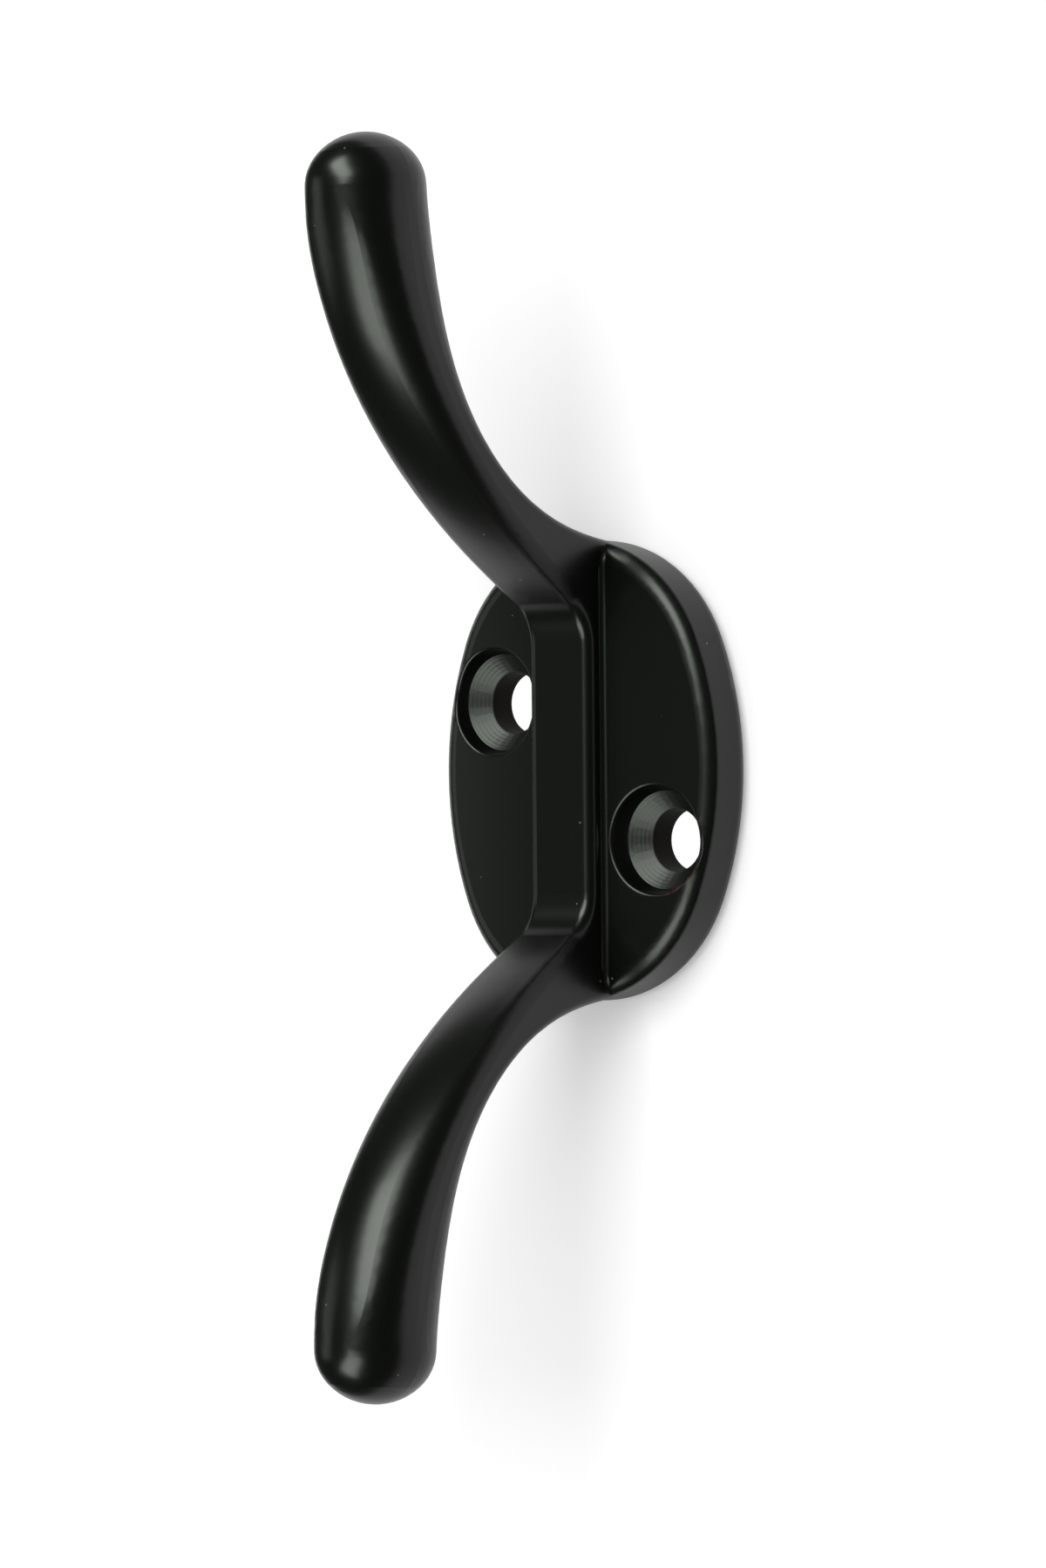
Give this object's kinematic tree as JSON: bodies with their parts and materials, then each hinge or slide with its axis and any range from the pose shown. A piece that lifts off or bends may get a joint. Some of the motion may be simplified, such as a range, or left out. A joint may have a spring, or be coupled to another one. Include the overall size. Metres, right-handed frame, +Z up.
{
  "type": "cleat hook",
  "caption": "Black cast cleat hook: an oval wall plate with countersunk screw holes on a diagonal and ball-ended horns above and below for winding a cord.",
  "frame": {"origin": "centre of the plate's flat back, on the wall", "axes": "+Y into the wall, -Y out to the front, +Z up along the horns, X across the plate"},
  "size_m": [0.0288, 0.0348, 0.1],
  "materials": {
    "black_coat": "satin"
  },
  "bodies": {
    "root": {"cleat_hook": "black_coat"}
  },
  "joints": []
}
